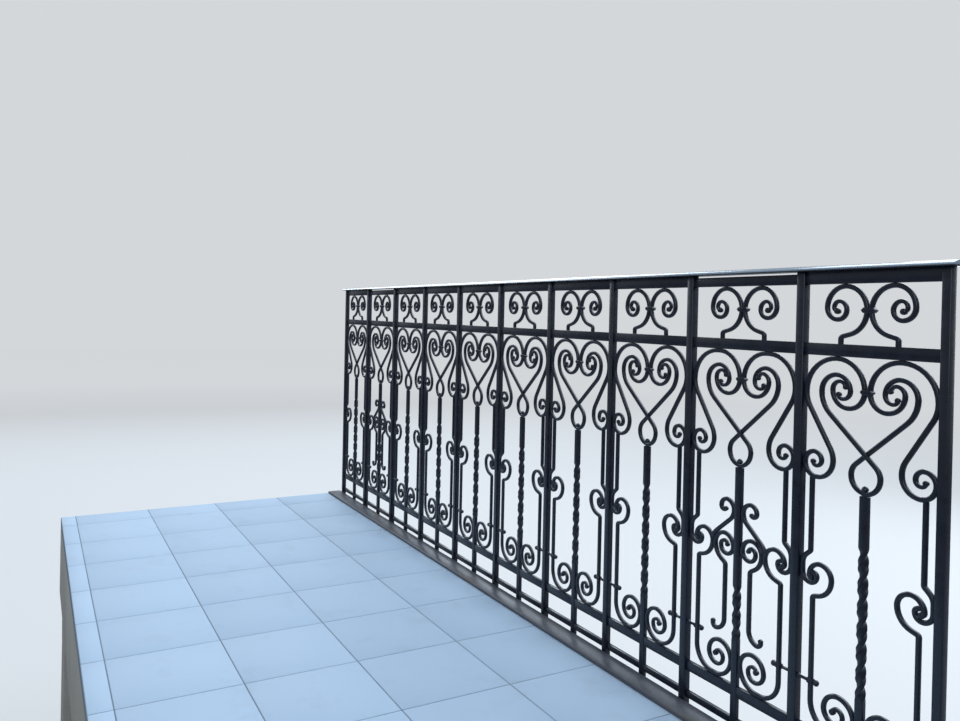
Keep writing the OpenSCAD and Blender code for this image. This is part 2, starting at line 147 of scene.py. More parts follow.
def noise(mat, scale, detail=4, stretch=(1, 1, 1), roughness=0.55):
    """A noise on the object's own coordinates, finer where stretch is larger"""
    where = add_node(mat, "ShaderNodeTexCoord")
    mapping = add_node(mat, "ShaderNodeMapping", {"Scale": stretch})
    made = add_node(mat, "ShaderNodeTexNoise", {"Scale": scale, "Detail": detail, "Roughness": roughness})
    link(mat, where.outputs["Object"], mapping.inputs["Vector"])
    link(mat, mapping.outputs["Vector"], made.inputs["Vector"])
    return made.outputs["Fac"]


def ramp(mat, source, *stops):
    """Turns a value into a colour by (place, colour) stops"""
    node = add_node(mat, "ShaderNodeValToRGB")
    points = node.color_ramp.elements
    while len(points) < len(stops):
        points.new(0.5)
    for point, (place, colour) in zip(points, stops):
        point.position = place
        point.color = (*colour, 1)
    link(mat, source, node.inputs["Fac"])
    return node.outputs["Color"]


def mix(mat, amount, a, b):
    """Colour a, with colour b laid over it by amount; each may be a socket or a fixed colour"""
    node = add_node(mat, "ShaderNodeMix", data_type="RGBA")
    for socket, value in ((node.inputs[0], amount), (node.inputs[6], a), (node.inputs[7], b)):
        if isinstance(value, bpy.types.NodeSocket):
            link(mat, value, socket)
        elif isinstance(value, tuple):
            socket.default_value = (*value, 1)
        else:
            socket.default_value = value
    return node.outputs[2]


def paint(mat, colour=None, roughness=None, height=None, strength=0.3, distance=0.0006):
    """Links colour, roughness and relief to the material's shader"""
    shader = mat.node_tree.nodes["Principled BSDF"]
    if colour:
        link(mat, colour, shader.inputs["Base Color"])
    if roughness:
        link(mat, roughness, shader.inputs["Roughness"])
    if height:
        bump = add_node(mat, "ShaderNodeBump", {"Strength": strength, "Distance": distance})
        link(mat, height, bump.inputs["Height"])
        link(mat, bump.outputs["Normal"], shader.inputs["Normal"])


def grey(value):
    return (value, value, value)


def black_iron():
    """Thick blue-black gloss paint over forged iron, dusty in places"""
    mat = material("black_iron", (0.008, 0.012, 0.024), 0.32, Specular_IOR_Level=0.40, Coat_Weight=0.22,
                   Coat_Roughness=0.16)
    brushed = noise(mat, 46, 5)
    dust = noise(mat, 7, 6, roughness=0.7)
    base = ramp(mat, brushed, (0.3, (0.006, 0.009, 0.018)), (0.7, (0.011, 0.015, 0.029)))
    dusty = ramp(mat, dust, (0.58, grey(0)), (0.80, grey(0.3)))
    colour = mix(mat, dusty, base, (0.028, 0.033, 0.045))
    rough = ramp(mat, brushed, (0.3, grey(0.22)), (0.75, grey(0.40)))
    paint(mat, colour, rough, brushed, 0.35, 0.0007)
    return mat


def sky_painted_iron():
    """The same black paint on the handrail, with a pale sky reflection painted over its top"""
    mat = material("sky_painted_iron", (0.008, 0.012, 0.024), 0.14, Specular_IOR_Level=0.6, Coat_Weight=0.5,
                   Coat_Roughness=0.08)
    where = add_node(mat, "ShaderNodeTexCoord")
    height = add_node(mat, "ShaderNodeSeparateXYZ")
    link(mat, where.outputs["Object"], height.inputs["Vector"])
    painted_sky_mask = add_node(mat, "ShaderNodeMapRange", {"From Min": handrail_lo.z + PAINTED_SKY_FROM * MM,
                                                "From Max": handrail_lo.z + PAINTED_SKY_WHOLE * MM})
    link(mat, height.outputs["Z"], painted_sky_mask.inputs["Value"])
    # the pale blue-grey laid over the top is a painted sky reflection, blended in above the underside
    painted_sky_tone = ramp(mat, noise(mat, 9, 5, (0.4, 1, 1)), (0.3, (0.25, 0.33, 0.42)), (0.7, (0.33, 0.41, 0.50)))
    colour = mix(mat, painted_sky_mask.outputs["Result"], (0.008, 0.012, 0.022), painted_sky_tone)
    paint(mat, colour, None, noise(mat, 46, 5), 0.1, 0.0004)
    return mat


def beam_paint():
    """Blue-grey oil paint on the rolled edge beam, chalky and a little dirty along its run"""
    mat = material("beam_paint", (0.14, 0.18, 0.25), 0.5)
    cloud = noise(mat, 5, 6, (0.5, 1, 2.2))
    grain = noise(mat, 60, 4)
    base = ramp(mat, cloud, (0.3, (0.105, 0.140, 0.200)), (0.7, (0.170, 0.215, 0.290)))
    colour = mix(mat, ramp(mat, grain, (0.58, grey(0)), (0.72, grey(0.5))), base, (0.080, 0.088, 0.105))
    paint(mat, colour, None, grain, 0.25, 0.0006)
    return mat


def stucco():
    """Warm grey limewashed plaster with soft stains"""
    mat = material("stucco", (0.42, 0.41, 0.38), 0.9)
    cloud = noise(mat, 2.2, 7, roughness=0.62)
    grain = noise(mat, 130, 5)
    base = ramp(mat, cloud, (0.28, (0.33, 0.315, 0.28)), (0.5, (0.46, 0.445, 0.40)),
                (0.75, (0.56, 0.54, 0.495)))
    colour = mix(mat, 0.35, base, ramp(mat, grain, (0.3, (0.36, 0.35, 0.32)), (0.7, (0.56, 0.54, 0.50))))
    paint(mat, colour, None, grain, 0.5, 0.0012)
    return mat


def kerb_stone():
    """Dark polished kerb stone, worn brown in patches"""
    mat = material("kerb_stone", (0.07, 0.066, 0.072), 0.3)
    cloud = noise(mat, 6, 6, (0.6, 1.6, 1))
    speckle = noise(mat, 210, 3)
    base = ramp(mat, cloud, (0.32, (0.045, 0.052, 0.072)), (0.55, (0.078, 0.086, 0.110)),
                (0.72, (0.100, 0.086, 0.078)))
    colour = mix(mat, ramp(mat, speckle, (0.45, grey(0)), (0.7, grey(0.4))), base, (0.15, 0.145, 0.14))
    paint(mat, colour, ramp(mat, cloud, (0.3, grey(0.24)), (0.7, grey(0.5))), speckle, 0.2, 0.0004)
    return mat


def floor_tile():
    """Pale blue-grey ceramic tile, each tile a touch different, with faint scuffs"""
    mat = material("floor_tile", (0.40, 0.54, 0.71), 0.58, Specular_IOR_Level=0.35)
    tone = add_node(mat, "ShaderNodeAttribute", attribute_name="tile_tone", attribute_type="GEOMETRY")
    scuff = noise(mat, 9, 6, roughness=0.65)
    base = ramp(mat, tone.outputs["Fac"], (0.0, (0.415, 0.550, 0.710)), (1.0, (0.438, 0.575, 0.738)))
    colour = mix(mat, ramp(mat, scuff, (0.56, grey(0)), (0.80, grey(0.45))), base, (0.35, 0.43, 0.54))
    paint(mat, colour, None, noise(mat, 40, 3), 0.06, 0.0006)
    return mat


def tile_grout():
    """Greyer cement in the joints between the tiles"""
    mat = material("tile_grout", (0.20, 0.25, 0.32), 0.9)
    grain = noise(mat, 90, 4)
    paint(mat, ramp(mat, grain, (0.3, (0.17, 0.21, 0.27)), (0.7, (0.25, 0.30, 0.37))), None, grain, 0.4, 0.0008)
    return mat


IRON = black_iron()
# the handrail's paint, with a painted sky reflection on its top
SKY_PAINTED_IRON = sky_painted_iron()
BEAM = beam_paint()
STUCCO = stucco()
KERB = kerb_stone()
TILE = floor_tile()
GROUT = tile_grout()


# Shared shop tools

def to_mesh(name, bm):
    mesh = bpy.data.meshes.new(name)
    bm.to_mesh(mesh)
    bm.free()
    return mesh


def finish_piece(name, bm, mat, nodes=(), smooth_below=50):
    """Makes the piece's object, smooth wherever two faces meet under smooth_below degrees"""
    limit = radians(smooth_below)
    for face in bm.faces:
        face.smooth = True
    for edge in bm.edges:
        edge.smooth = len(edge.link_faces) == 2 and edge.calc_face_angle(0) < limit
    mesh = to_mesh(name, bm)
    mesh.materials.append(mat)
    obj = bpy.data.objects.new(name, mesh)
    scene.collection.objects.link(obj)
    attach(obj, "root")
    if nodes:
        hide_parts(*nodes)


def add_copy(bm, mesh, place):
    """Adds a mesh at a place; a mirrored one has its faces turned back outwards"""
    placed = mesh.copy()
    placed.transform(place)
    if place.determinant() < 0:
        placed.flip_normals()
    bm.from_mesh(placed)
    bpy.data.meshes.remove(placed)


def box(bm, lo, hi, rounding=0, segments=1):
    """A box between two corners with bevelled edges; gives its points"""
    size = Vector(hi) - Vector(lo)
    shape = Matrix.Translation((Vector(lo) + Vector(hi)) / 2) @ Matrix.Diagonal((*size, 1))
    verts = bmesh.ops.create_cube(bm, size=1, matrix=shape)["verts"]
    if rounding:
        edges = list({edge for vert in verts for edge in vert.link_edges})
        made = bmesh.ops.bevel(bm, geom=edges, offset=rounding, affect="EDGES", segments=segments,
                               profile=0.5, material=-1)
        verts = list({vert for face in made["faces"] for vert in face.verts} | {v for v in verts if v.is_valid})
    return verts


def fresh(build):
    """Builds a small piece by itself and gives its mesh, with doubles merged and normals outward"""
    bm = bmesh.new()
    build(bm)
    bmesh.ops.remove_doubles(bm, verts=bm.verts[:], dist=WELD)
    bmesh.ops.recalc_face_normals(bm, faces=bm.faces[:])
    return to_mesh("shop_piece", bm)


def spun_profile(profile, steps):
    """The mesh of a turned piece from its (radius, height) points, in millimetres"""
    def build(bm):
        verts = [bm.verts.new((r, 0, z)) for r, z in profile]
        edges = [bm.edges.new(pair) for pair in zip(verts, verts[1:])]
        bmesh.ops.spin(bm, geom=verts + edges, cent=(0, 0, 0), axis=(0, 0, 1), angle=tau, steps=steps,
                       use_merge=True)
    return fresh(build)


# Scrolls: square bars bent in the railing's plane
QUARTER_STEPS = ((40, 9), (20, 8), (0, 6))


def arc_steps(r, turn):
    """Short stretches of an arc. QUARTER_STEPS has those of a quarter turn for bends wider than a radius."""
    per_quarter = next(steps for wider, steps in QUARTER_STEPS if r > wider)
    return max(2, ceil(per_quarter * abs(turn) / 90))


def scroll(radii, turn=90):
    """A scroll's steps: one arc for each radius, a quarter turn each"""
    return [(r, turn) for r in radii]


def bar_section(bm, place, side, rounding, ahead):
    """The end of a bar, square with rounded corners, where a cap stays behind. Gives the face to push
    ahead from there and the points of both rims, which the pushing leaves one upon the other."""
    made = bmesh.ops.create_circle(bm, cap_ends=True, radius=side / sqrt(2), segments=4,
                                   matrix=place @ Matrix.Rotation(radians(45), 4, "Z"))
    corners = bmesh.ops.bevel(bm, geom=made["verts"], offset=rounding, affect="VERTICES", segments=2,
                              profile=0.5, material=-1)
    face = next(f for v in corners["verts"] for f in v.link_faces)
    if face.normal.dot(ahead) < 0:
        face.normal_flip()
    cap = bmesh.ops.duplicate(bm, geom=[face])["geom"]
    cap_face = next(g for g in cap if isinstance(g, bmesh.types.BMFace))
    cap_face.normal_flip()
    return face, [v for f in (face, cap_face) for v in f.verts]


def bent_bar(bm, x, y, heading, steps, knob=0, thin_to=1.0, thin_arcs=3, out=0):
    """Bends a bar from (x, y) along steps: (radius, turn) is an arc, to the left for a positive turn, and
    (0, length) is straight. The last thin_arcs arcs draw the bar down to thin_to of its thickness, and the
    end carries a rolled knob of the radius knob. out moves the whole bar out of the plane."""
    point, angle = Vector((x, y, out)), radians(heading)
    start = Matrix.Translation(point) @ Matrix.Rotation(angle, 4, "Z") @ Matrix.Rotation(radians(90), 4, "Y")
    face, rims = bar_section(bm, start, BAR, BAR_ROUNDING, Vector((cos(angle), sin(angle), 0)))
    arcs = [k for k, (r, _) in enumerate(steps) if r > 0]
    thin_from = arcs[-thin_arcs] if thin_to < 1 and len(arcs) >= thin_arcs else len(steps)
    thin_steps = sum(arc_steps(r, turn) for r, turn in steps[thin_from:] if r > 0)
    for k, (r, turn) in enumerate(steps):
        if r == 0:
            pushes = [(Vector((cos(angle), sin(angle), 0)) * turn, 0)]
        else:
            parts = arc_steps(r, turn)
            pushes = [(None, radians(turn) / parts)] * parts
            side = 1 if turn > 0 else -1
            centre = point + side * r * Vector((-sin(angle), cos(angle), 0))
        for shift, twist in pushes:
            face = bmesh.ops.extrude_discrete_faces(bm, faces=[face])["faces"][0]
            if twist:
                spun = Matrix.Rotation(twist, 4, "Z")
                bmesh.ops.rotate(bm, cent=centre, matrix=spun.to_3x3(), verts=face.verts[:])
                point = centre + spun @ (point - centre)
                angle += twist
                if k >= thin_from:
                    along = Matrix.Translation(point) @ Matrix.Rotation(angle, 4, "Z")
                    thinner = along @ Matrix.Diagonal((1, thin_to ** (1 / thin_steps), 1, 1)) @ along.inverted()
                    bmesh.ops.transform(bm, matrix=thinner, verts=face.verts[:])
            else:
                bmesh.ops.translate(bm, vec=shift, verts=face.verts[:])
                point = point + shift
    bmesh.ops.remove_doubles(bm, verts=[v for v in rims if v.is_valid], dist=WELD)
    if knob:
        add_copy(bm, KNOB, Matrix.Translation(point) @ Matrix.Scale(knob, 4))


def rolled_knob():
    """The rolled end of a scroll, of radius 1, drawn a little wider than the bar"""
    half = 0.86
    return spun_profile([(0, -half), (0.62, -half), (0.9, -half * 0.78), (1, 0), (0.9, half * 0.78),
                         (0.62, half), (0, half)], 12)


KNOB = rolled_knob()

# Drawing of the heart panel, in millimetres, from the top of the lower rail and the middle of the panel
heart_z = (frieze_rail_lo.z - low_rail_hi.z) / MM
# Outer bar: down from the arch into the ring, and past the post into the small scroll
ARCH_GAP = 1               # from the middle to the bar's side, where the collar holds it
ARCH_C = 62                # bend from the arch down to the collar
ARCH_R = 70                # bend from the arch down along the post
RING = (36, 36, 17, 13)
RING_END_TURN = 80
LEAN = 32                  # towards the middle, from the neck to the heel
NECK_R = 60
HEEL_R = 50
POST_SCROLL = (38, 29, 23, 17, 12, 8)
# Inner bar: from the loop up across its partner, and over the ring
LOOP_R = 33
LOOP_SIDE_R = 30
CROSS_LEAN = 41.5          # slope of the crossing bars
HOOK = (35, 31, 17, 9)
HOOK_X = 102               # from the middle to the hook's outer side
HOOK_TOP = -37             # from the frieze rail's underside
HOOK_NECK_R = 60
# Stem beside the post, with its crozier above and its big scroll below
STEM_OFF = 31              # from the post's face to the stem's middle
STEM_LEN = 210
BOTTOM = (51, 47, 35, 33, 25, 19, 14, 9)
CROZIER = (27, 26, 5)
CROZIER_BOW = 40
CROZIER_LEAN = 75
CROZIER_REACH = 10
CRANK_R = 6                # the tight bend where a bar is cranked
# Hanger under the small scroll, hooked at the post over the crozier
HANGER_HOOK = (20, 15, 8)
HANGER_LEAN = 48
HANGER_IN_R = 24
HANGER_SLOPE = 12
HANGER_POST_RUN = 18
HANGER_OVER_CROZIER = 4
HANGER_DROP = 2            # from the scroll's foot to the hanger's top
TIE_Z = 94                 # height of the pin between stem and post


def cosd(a):
    return cos(radians(a))


def sind(a):
    return sin(radians(a))


slope_len = (POST_SCROLL[0] + POST_SCROLL[1] - (NECK_R + HEEL_R) * (1 - cosd(LEAN))) / sind(LEAN)
post_scroll_foot = (heart_z - BAR / 2 - ARCH_R - (NECK_R + HEEL_R) * sind(LEAN) - slope_len * cosd(LEAN)
                    - POST_SCROLL[0])
hanger_top = post_scroll_foot - HANGER_DROP
cross_len = (HOOK_X + LOOP_R - (HOOK_NECK_R + LOOP_SIDE_R) * (1 - sind(CROSS_LEAN))) / cosd(CROSS_LEAN)
loop_foot = (heart_z + HOOK_TOP - HOOK[0] - (HOOK_NECK_R + LOOP_SIDE_R) * cosd(CROSS_LEAN)
             - cross_len * sind(CROSS_LEAN) - LOOP_R)
stem_foot = BAR / 2 + BOTTOM[0]
stem_top = stem_foot + STEM_LEN
crozier_side = (stem_top + CRANK_R * sind(CROZIER_LEAN) + CROZIER_REACH * cosd(CROZIER_LEAN)
                + CROZIER_BOW * sind(CROZIER_LEAN))
hanger_run = (crozier_side + HANGER_OVER_CROZIER + HANGER_POST_RUN + (HANGER_IN_R + CRANK_R) * sind(HANGER_LEAN)
              + HANGER_SLOPE * cosd(HANGER_LEAN))
hanger_x = BAR / 2 + (HANGER_IN_R + CRANK_R) * (1 - cosd(HANGER_LEAN)) + HANGER_SLOPE * sind(HANGER_LEAN)


def heart_outer(bm, face):
    """The outer bar: the arch under the frieze rail, the ring beside the middle and the small post scroll"""
    start = BAR / 2 + ARCH_GAP + ARCH_C
    top = heart_z - BAR / 2
    flat = face - BAR / 2 - start - ARCH_R
    ring = scroll((ARCH_C, *RING[:-1])) + [(RING[-1], RING_END_TURN)]
    bent_bar(bm, start, top, 180, ring, KNOB_R, SCROLL_TIP)
    outer = [(0, flat), (ARCH_R, -90), (NECK_R, -LEAN), (0, slope_len), (HEEL_R, LEAN)]
    bent_bar(bm, start, top, 0, outer + scroll(POST_SCROLL), KNOB_R, SCROLL_TIP)


def heart_inner(bm, out):
    """The inner bar: from the loop's foot up across its partner, and over the ring"""
    steps = [(LOOP_R, -90), (LOOP_SIDE_R, CROSS_LEAN - 90), (0, cross_len), (HOOK_NECK_R, 90 - CROSS_LEAN)]
    bent_bar(bm, 0, loop_foot, 180, steps + scroll(HOOK), KNOB_R, SCROLL_TIP, out=out)


def stem(bm, face):
    """The stem, with the crozier above and the big scroll below"""
    x = face - STEM_OFF
    flat = x - CENTRE_W / 2 - BAR / 2 - BOTTOM[0] - BOTTOM[1]
    bottom = [(BOTTOM[0], -90), (0, flat)] + scroll(BOTTOM[1:], -90)
    bent_bar(bm, x, stem_foot, -90, bottom, BIG_KNOB_R, BIG_SCROLL_TIP, 4)
    crozier = [(0, STEM_LEN), (CRANK_R, CROZIER_LEAN), (0, CROZIER_REACH), (CROZIER_BOW, -CROZIER_LEAN)]
    bent_bar(bm, x, stem_foot, 90, crozier + scroll(CROZIER, -90), BIG_KNOB_R)


def hanger(bm, face):
    """The hanger under the small post scroll, hooked at the post"""
    run = [(0, hanger_top - hanger_run), (CRANK_R, HANGER_LEAN), (0, HANGER_SLOPE), (HANGER_IN_R, -HANGER_LEAN),
           (0, HANGER_POST_RUN)]
    bent_bar(bm, face - hanger_x, hanger_top, -90, run + scroll(HANGER_HOOK, -90), HOOK_KNOB_R)


def stem_tie(bm, face):
    """The pin that holds the stem to the post, with a round head inside"""
    along = Matrix.Translation((face, TIE_Z, 0)) @ Matrix.Rotation(radians(-90), 4, "Y")
    add_copy(bm, TIE_PIN, along)


TIE_PIN = spun_profile(
    [(0, 0), (5.5, 0), (5.5, 2.5), (3.4, 4.5), (3.4, STEM_OFF - 8), (6.4, STEM_OFF - 6.8),
     (6.4, STEM_OFF + 6.8), (4.2, STEM_OFF + 8), (4.2, STEM_OFF + 9), (5.8, STEM_OFF + 10.5),
     (6.8, STEM_OFF + 13.5), (5.8, STEM_OFF + 16.5), (3, STEM_OFF + 18.5), (0, STEM_OFF + 19)], 12)

# The corbel panels' middle figure
INNER_TURNS = (28, 27, 20, 18, 12, 8)
INNER_CRANK_R = 10
INNER_BOW = 40
INNER_LEAN = 60
INNER_REACH = 8
INNER_FOOT = 140           # where the stem ends over the lower rail
INNER_FOOT_HOOK = ((28, 80), (10, 120))
TAIL_TOP = ((22, -90), (17, -90), (9, -90), (6, -60))
TAIL_GAP = 0.4             # between the tail's end and the crozier that it runs round
TAIL_LEAN = 50
TAIL_R = 30
TAIL_END_R = INNER_TURNS[0] + BAR + TAIL_GAP
TAIL_END_TURN = -35
tail_slope = (INNER_TURNS[1] + TAIL_END_R * cosd(TAIL_LEAN) - TAIL_R * (1 - cosd(TAIL_LEAN))) / sind(TAIL_LEAN)
inner_side = stem_top + (INNER_CRANK_R + INNER_BOW) * sind(INNER_LEAN) + INNER_REACH * cosd(INNER_LEAN)
tail_z = inner_side + (TAIL_END_R + TAIL_R) * sind(TAIL_LEAN) + tail_slope * cosd(TAIL_LEAN)


def inner_figure(bm):
    """The corbel panels' middle figure: a crozier on a stem, and an S-tail above it"""
    beside = CENTRE_W / 2 + BAR / 2
    x = (beside + INNER_TURNS[0] + INNER_TURNS[1] - (INNER_CRANK_R + INNER_BOW) * (1 - cosd(INNER_LEAN))
         - INNER_REACH * sind(INNER_LEAN))
    crozier = [(0, stem_top - INNER_FOOT), (INNER_CRANK_R, -INNER_LEAN), (0, INNER_REACH),
               (INNER_BOW, INNER_LEAN)]
    bent_bar(bm, x, INNER_FOOT, 90, crozier + scroll(INNER_TURNS), KNOB_R, SCROLL_TIP)
    bent_bar(bm, x, INNER_FOOT, -90, INNER_FOOT_HOOK, KNOB_R)
    bent_bar(bm, beside, tail_z, 90, TAIL_TOP, KNOB_R)
    bent_bar(bm, beside, tail_z, -90, [(TAIL_R, TAIL_LEAN), (0, tail_slope), (TAIL_END_R, TAIL_END_TURN)])


def heart_half(face, with_figure, out):
    """One half of a panel for a post face at that distance"""
    bm = bmesh.new()
    heart_outer(bm, face)
    heart_inner(bm, out)
    stem(bm, face)
    hanger(bm, face)
    stem_tie(bm, face)
    if with_figure:
        inner_figure(bm)
    return to_mesh("heart_half", bm)


CROSS_OUT = 2.0            # each crossing bar stands this far out of the plane, one before and one behind
PEG_R = 7
PEG_SUNK = 4               # how deep the peg's foot stands in the loop
PEG_HEAD = spun_profile(
    [(0, 0), (5.2, 0), (5.2, 5), (PEG_R, 6.5), (PEG_R, 9), (5.2, 12.6), (2.6, 14.4), (0, 15)], 14)
RING_COLLAR_W = 2 * BAR + 8
COLLAR_H = 11
COLLAR_POINT = 5
COLLAR_OVER = 2            # before and behind the bars
COLLAR_ROUNDING = 1.2


def collar(bm, z, w, place):
    """A tie round the two bars in the middle of a panel, drawn out to a point at both ends"""
    tie = bmesh.new()
    back = -BAR / 2 - COLLAR_OVER
    shape = (Matrix.Translation((0, z, back)) @ Matrix.Diagonal((2 * COLLAR_POINT, COLLAR_H / sqrt(3), 1, 1))
             @ Matrix.Rotation(radians(30), 4, "Z"))
    made = bmesh.ops.create_circle(tie, cap_ends=True, radius=1, segments=6, matrix=shape)
    for v in made["verts"]:
        v.co.x += (w / 2 - 2 * COLLAR_POINT) * (1 if v.co.x > 0 else -1)
    front = bmesh.ops.extrude_face_region(tie, geom=tie.faces[:])["geom"]
    bmesh.ops.translate(tie, vec=(0, 0, BAR + 2 * COLLAR_OVER),
                        verts=[g for g in front if isinstance(g, bmesh.types.BMVert)])
    bmesh.ops.bevel(tie, geom=tie.edges[:], offset=COLLAR_ROUNDING, affect="EDGES", segments=2, profile=0.5,
                    material=-1)
    bmesh.ops.recalc_face_normals(tie, faces=tie.faces[:])
    add_copy(bm, to_mesh("collar", tie), place)


def heart_panels():
    """The panels, each of two halves and what holds them together; halves that are alike are drawn once"""
    halves = {}
    peg_foot = loop_foot + BAR / 2 - PEG_SUNK
    for i in range(PANELS):
        bm = bmesh.new()
        over_corbel = i in CORBEL_PANELS
        for post, mirrored in ((i, True), (i + 1, False)):
            face = half_width(i, post)
            key = (round(face), over_corbel, mirrored)
            if key not in halves:
                halves[key] = heart_half(face, over_corbel, CROSS_OUT if mirrored else -CROSS_OUT)
            add_copy(bm, halves[key], in_rail(middle_x(i), low_rail_hi.z, mirrored))
        place = in_rail(middle_x(i), low_rail_hi.z)
        upright = Matrix.Rotation(radians(-90), 4, "X")
        add_copy(bm, PEG_HEAD, place @ Matrix.Translation((0, peg_foot, 0)) @ upright)
        collar(bm, heart_z - BAR / 2 - ARCH_C, RING_COLLAR_W, place)
        finish_piece(f"heart_scrolls_{i + 1}", bm, IRON, [f"heart_panel_{i + 1}"])


# Frieze: two ram's-horn scrolls on cranked feet
HORN = (48, 42, 25, 20, 17, 12, 8)
FRIEZE_BOW = 50
FRIEZE_LEAN = 75
FRIEZE_REACH = 16
FRIEZE_COLLAR_W = 2 * BAR + 12
frieze_gap = (top_rail_lo.z - frieze_rail_hi.z) / MM
frieze_collar = frieze_gap - BAR / 2 - HORN[0]
frieze_foot = frieze_collar - (FRIEZE_BOW + CRANK_R) * sind(FRIEZE_LEAN) - FRIEZE_REACH * cosd(FRIEZE_LEAN)


def frieze_half():
    """One horn, and below the collar its foot, which bows out to the rail"""
    bm = bmesh.new()
    bent_bar(bm, BAR / 2, frieze_collar, 90, scroll(HORN, -90), BIG_KNOB_R, BIG_SCROLL_TIP, 4)
    foot = [(FRIEZE_BOW, FRIEZE_LEAN), (0, FRIEZE_REACH), (CRANK_R, -FRIEZE_LEAN), (0, frieze_foot)]
    bent_bar(bm, BAR / 2, frieze_collar, -90, foot)
    return to_mesh("frieze_half", bm)


def frieze():
    half = frieze_half()
    for i in range(PANELS):
        bm = bmesh.new()
        for mirrored in (True, False):
            add_copy(bm, half, in_rail(middle_x(i), frieze_rail_hi.z, mirrored))
        collar(bm, frieze_collar, FRIEZE_COLLAR_W, in_rail(middle_x(i), frieze_rail_hi.z))
        finish_piece(f"ram_horns_{i + 1}", bm, IRON, [f"frieze_scrolls_{i + 1}"])


# Uprights
BALL_R = 12
HEAVY_BALL_R = 17
DROP_NECK = 6
DROP_LIP = 2               # how much wider the bar's end is than the neck
DROP_POINT = 9
BALL_POINTS = 9            # of the ball's round outline
BALL_END = 165             # where the ball's outline meets its point, in degrees from the top
HEAVY_BELOW_BEAM = 12
ANCHOR_REACH = 12
ANCHOR_R = 14
ANCHOR_TURN = 110


def drop(r, steps):
    """The forged end of a bar of that ball radius: a neck, a ball and a short point"""
    middle_z = -DROP_NECK - r
    neck_r = r - DROP_NECK
    profile = [(0, 0), (neck_r + DROP_LIP, 0), (neck_r + DROP_LIP, -1.5), (neck_r, -3)]
    start = asin(neck_r / r)
    for k in range(BALL_POINTS):
        angle = start + k * (radians(BALL_END) - start) / (BALL_POINTS - 1)
        profile.append((r * sin(angle), middle_z + r * cos(angle)))
    tip = middle_z - r - DROP_POINT
    profile += [(r * 0.2, tip + DROP_POINT * 0.45), (r * 0.12, tip + 1.2), (0, tip)]
    return spun_profile(profile, steps)


def square_bar(bm, x, side, foot, top, rounding=POST_ROUNDING):
    """An upright square bar, in metres apart from its side and rounding"""
    half = side / 2 * MM
    box(bm, (x - half, rail_y - half, foot), (x + half, rail_y + half, top), rounding * MM, 2)


def plain_posts():
    """The plain posts, which run down past the fascia to a drop"""
    bm = bmesh.new()
    end = drop(BALL_R, 14)
    for i, x in enumerate(post_x):
        if i not in HEAVY_POSTS:
            square_bar(bm, x, POST, bead_lo.z, handrail_lo.z)
            add_copy(bm, end, Matrix.Translation((x, rail_y, bead_lo.z)) @ Matrix.Scale(MM, 4))
    finish_piece("plain_uprights", bm, IRON, ["plain_posts"])


def heavy_posts():
    """The four heavy posts, which run down past the beam to a ball between two upturned hooks"""
    end = drop(HEAVY_BALL_R, 18)
    hook = bmesh.new()
    bent_bar(hook, 0, 0, 0, [(0, ANCHOR_REACH), (ANCHOR_R, ANCHOR_TURN)], ANCHOR_KNOB_R)
    hook = to_mesh("anchor_hook", hook)
    foot = beam_lo.z - HEAVY_BELOW_BEAM * MM
    for k, x in enumerate(heavy_x):
        bm = bmesh.new()
        square_bar(bm, x, HEAVY_POST, foot, handrail_lo.z, HEAVY_ROUNDING)
        add_copy(bm, end, Matrix.Translation((x, rail_y, foot)) @ Matrix.Scale(MM, 4))
        for mirrored in (True, False):
            add_copy(bm, hook, in_rail(x, foot - (DROP_NECK + HEAVY_BALL_R) * MM, mirrored))
        finish_piece(f"heavy_upright_{k + 1}", bm, IRON, [f"heavy_post_{k + 1}"])


TWIST_START = 100          # over the lower rail
HALF_TURN = 43             # length of half a turn
HALF_TURNS = 7
CORBEL_HALF_TURNS = 3
TWIST_SLICES = 12          # in half a turn


def twisted_bar(bm, x, foot, top, twist_foot, half_turns):
    """A flat bar with a twisted stretch, extruded slice by slice"""
    start = Matrix.Translation((x, rail_y, foot)) @ Matrix.Diagonal((CENTRE_W * MM, CENTRE_T * MM, 1, 1))
    face, rims = bar_section(bm, start, 1, CENTRE_ROUNDING * MM, Vector((0, 0, 1)))
    slices = half_turns * TWIST_SLICES
    rise = HALF_TURN * MM / TWIST_SLICES
    pushes = [(twist_foot - foot, 0)] + [(rise, 180 / TWIST_SLICES)] * slices
    pushes.append((top - twist_foot - slices * rise, 0))
    for up, turn in pushes:
        face = bmesh.ops.extrude_discrete_faces(bm, faces=[face])["faces"][0]
        bmesh.ops.translate(bm, vec=(0, 0, up), verts=face.verts[:])
        if turn:
            bmesh.ops.rotate(bm, cent=(x, rail_y, 0), matrix=Matrix.Rotation(radians(turn), 3, "Z"),
                             verts=face.verts[:])
    bmesh.ops.remove_doubles(bm, verts=[v for v in rims if v.is_valid], dist=WELD * MM)


def centre_bars():
    bm = bmesh.new()
    end = drop(BALL_R, 14)
    top = low_rail_hi.z + (loop_foot - BAR / 2) * MM
    for i in range(PANELS):
        x = middle_x(i)
        half_turns = CORBEL_HALF_TURNS if i in CORBEL_PANELS else HALF_TURNS
        twisted_bar(bm, x, bead_lo.z, top, low_rail_hi.z + TWIST_START * MM, half_turns)
        add_copy(bm, end, Matrix.Translation((x, rail_y, bead_lo.z)) @ Matrix.Scale(MM, 4))
    finish_piece("twisted_bars", bm, IRON, ["centre_bars"], smooth_below=35)


# Rails
RAIL_ROUNDING = 0.9
HANDRAIL_GAP = 5           # height of the slot
UPPER_RAILS = ("top_rail", "frieze_rail")
LOWER_RAILS = ("lower_rail", "base_bar", "fascia_strip", "bead_bar")


